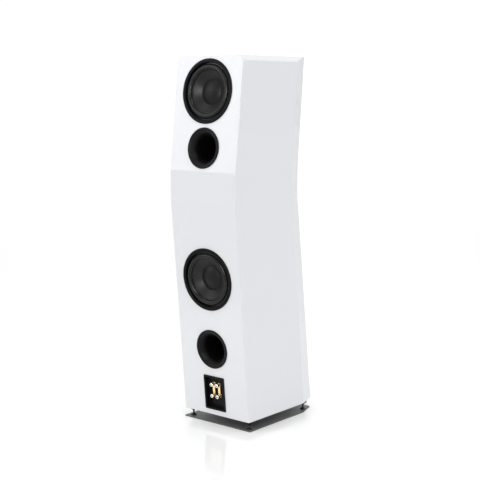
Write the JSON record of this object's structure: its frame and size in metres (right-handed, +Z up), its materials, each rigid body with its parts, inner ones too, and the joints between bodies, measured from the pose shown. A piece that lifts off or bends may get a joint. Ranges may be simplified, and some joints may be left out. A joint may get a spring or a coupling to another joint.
{
  "type": "floorstanding speaker",
  "caption": "Floorstanding loudspeaker with a bowed gloss cabinet, rear bass units and flared ports, recessed binding posts, and spikes on a thin plate.",
  "frame": {"origin": "on the floor, at the centre of the whole object's bounding box", "axes": "+Z up; -Y is the listening side (the unseen front), +Y the rear with the bass units, ports and terminals; X across the cabinet"},
  "size_m": [0.29, 0.4367, 1.215],
  "materials": {
    "gloss_white": "gloss white lacquer on fibreboard",
    "fibreboard": "raw medium-density fibreboard",
    "driver_frame": "satin black powder coat",
    "cone": "coated black fibre, satin",
    "rubber_black": "satin black",
    "spider_cloth": "resin-treated cloth",
    "magnet_steel": "dark plated",
    "dome": "satin anodised",
    "port_black": "satin black",
    "terminal_black": "satin black",
    "post_gold": "gold plated, polished",
    "knob_metal": "pale gold plated, polished",
    "board_green": "green solder mask",
    "copper": "enamelled copper wire",
    "capacitor_film": "yellow film wrap",
    "base_gloss_black": "gloss black",
    "foot_black": "gloss black"
  },
  "bodies": {
    "root": {"base_plate": "base_gloss_black", "bottom_panel": "gloss_white", "chamber_back": "fibreboard", "chamber_floor": "fibreboard", "chamber_lid": "fibreboard", "crossover_board": "board_green", "crossover_capacitor": "capacitor_film", "crossover_coil": "copper", "front_baffle": "gloss_white", "jumper_left": "post_gold", "jumper_right": "post_gold", "mid_lower_frame": "driver_frame", "mid_lower_motor": "magnet_steel", "mid_lower_surround": "rubber_black", "mid_upper_frame": "driver_frame", "mid_upper_motor": "magnet_steel", "mid_upper_surround": "rubber_black", "port_lower": "port_black", "port_upper": "port_black", "post_1_stud": "post_gold", "post_2_stud": "post_gold", "post_3_stud": "post_gold", "post_4_stud": "post_gold", "rear_panel": "gloss_white", "side_panel_left": "gloss_white", "side_panel_right": "gloss_white", "spike_front_left": "foot_black", "spike_front_right": "foot_black", "spike_rear_left": "foot_black", "spike_rear_right": "foot_black", "spike_shoe_front_left": "foot_black", "spike_shoe_front_right": "foot_black", "spike_shoe_rear_left": "foot_black", "spike_shoe_rear_right": "foot_black", "terminal_cup": "terminal_black", "top_panel": "gloss_white", "tweeter_faceplate": "driver_frame", "tweeter_motor": "magnet_steel", "window_brace": "fibreboard", "woofer_lower_frame": "driver_frame", "woofer_lower_motor": "magnet_steel", "woofer_lower_spider": "spider_cloth", "woofer_lower_surround": "rubber_black", "woofer_upper_frame": "driver_frame", "woofer_upper_motor": "magnet_steel", "woofer_upper_spider": "spider_cloth", "woofer_upper_surround": "rubber_black"},
    "woofer_lower_diaphragm": {"woofer_lower_cone": "cone"},
    "woofer_upper_diaphragm": {"woofer_upper_cone": "cone"},
    "mid_lower_diaphragm": {"mid_lower_cone": "cone"},
    "mid_upper_diaphragm": {"mid_upper_cone": "cone"},
    "tweeter_diaphragm": {"tweeter_dome": "dome"},
    "post_1_clamp": {"post_1_washer": "post_gold"},
    "post_1_head": {"post_1_knob": "knob_metal"},
    "post_2_clamp": {"post_2_washer": "post_gold"},
    "post_2_head": {"post_2_knob": "knob_metal"},
    "post_3_clamp": {"post_3_washer": "post_gold"},
    "post_3_head": {"post_3_knob": "knob_metal"},
    "post_4_clamp": {"post_4_washer": "post_gold"},
    "post_4_head": {"post_4_knob": "knob_metal"}
  },
  "joints": [
    {"name": "woofer_lower_travel", "type": "slide", "parent": "root", "child": "woofer_lower_diaphragm", "axis": [0, 0.9958, -0.0913], "range_m": [-0.006, 0.006], "stiffness_N_per_m": 2000, "deforming": ["woofer_lower_surround", "woofer_lower_spider"]},
    {"name": "woofer_upper_travel", "type": "slide", "parent": "root", "child": "woofer_upper_diaphragm", "axis": [0, 0.9936, 0.1128], "range_m": [-0.006, 0.006], "stiffness_N_per_m": 2000, "deforming": ["woofer_upper_surround", "woofer_upper_spider"]},
    {"name": "mid_lower_travel", "type": "slide", "parent": "root", "child": "mid_lower_diaphragm", "axis": [0, -0.9934, 0.1145], "range_m": [-0.004, 0.004], "stiffness_N_per_m": 2500, "deforming": ["mid_lower_surround"]},
    {"name": "mid_upper_travel", "type": "slide", "parent": "root", "child": "mid_upper_diaphragm", "axis": [0, -0.9959, -0.0902], "range_m": [-0.004, 0.004], "stiffness_N_per_m": 2500, "deforming": ["mid_upper_surround"]},
    {"name": "tweeter_travel", "type": "slide", "parent": "root", "child": "tweeter_diaphragm", "axis": [0, -1, 0], "range_m": [-0.0005, 0.0005], "stiffness_N_per_m": 1500},
    {"name": "post_1_lift", "type": "slide", "parent": "root", "child": "post_1_clamp", "axis": [0, 0.9958, -0.0913], "range_m": [0, 0.003]},
    {"name": "post_1_turn", "type": "hinge", "parent": "post_1_clamp", "child": "post_1_head", "pos_m": [-0.0115, 0.16023, 0.135], "axis": [0, 0.9958, -0.0913], "range_deg": [0, 1080]},
    {"name": "post_2_lift", "type": "slide", "parent": "root", "child": "post_2_clamp", "axis": [0, 0.9958, -0.0913], "range_m": [0, 0.003]},
    {"name": "post_2_turn", "type": "hinge", "parent": "post_2_clamp", "child": "post_2_head", "pos_m": [0.0115, 0.16023, 0.135], "axis": [0, 0.9958, -0.0913], "range_deg": [0, 1080]},
    {"name": "post_3_lift", "type": "slide", "parent": "root", "child": "post_3_clamp", "axis": [0, 0.9958, -0.0913], "range_m": [0, 0.003]},
    {"name": "post_3_turn", "type": "hinge", "parent": "post_3_clamp", "child": "post_3_head", "pos_m": [-0.0115, 0.15665, 0.096], "axis": [0, 0.9958, -0.0913], "range_deg": [0, 1080]},
    {"name": "post_4_lift", "type": "slide", "parent": "root", "child": "post_4_clamp", "axis": [0, 0.9958, -0.0913], "range_m": [0, 0.003]},
    {"name": "post_4_turn", "type": "hinge", "parent": "post_4_clamp", "child": "post_4_head", "pos_m": [0.0115, 0.15665, 0.096], "axis": [0, 0.9958, -0.0913], "range_deg": [0, 1080]}
  ],
  "couplings": [
    {"joint": "post_1_turn", "follows": "post_1_lift", "rad_per_m": 6283.2},
    {"joint": "post_2_turn", "follows": "post_2_lift", "rad_per_m": 6283.2},
    {"joint": "post_3_turn", "follows": "post_3_lift", "rad_per_m": 6283.2},
    {"joint": "post_4_turn", "follows": "post_4_lift", "rad_per_m": 6283.2}
  ]
}
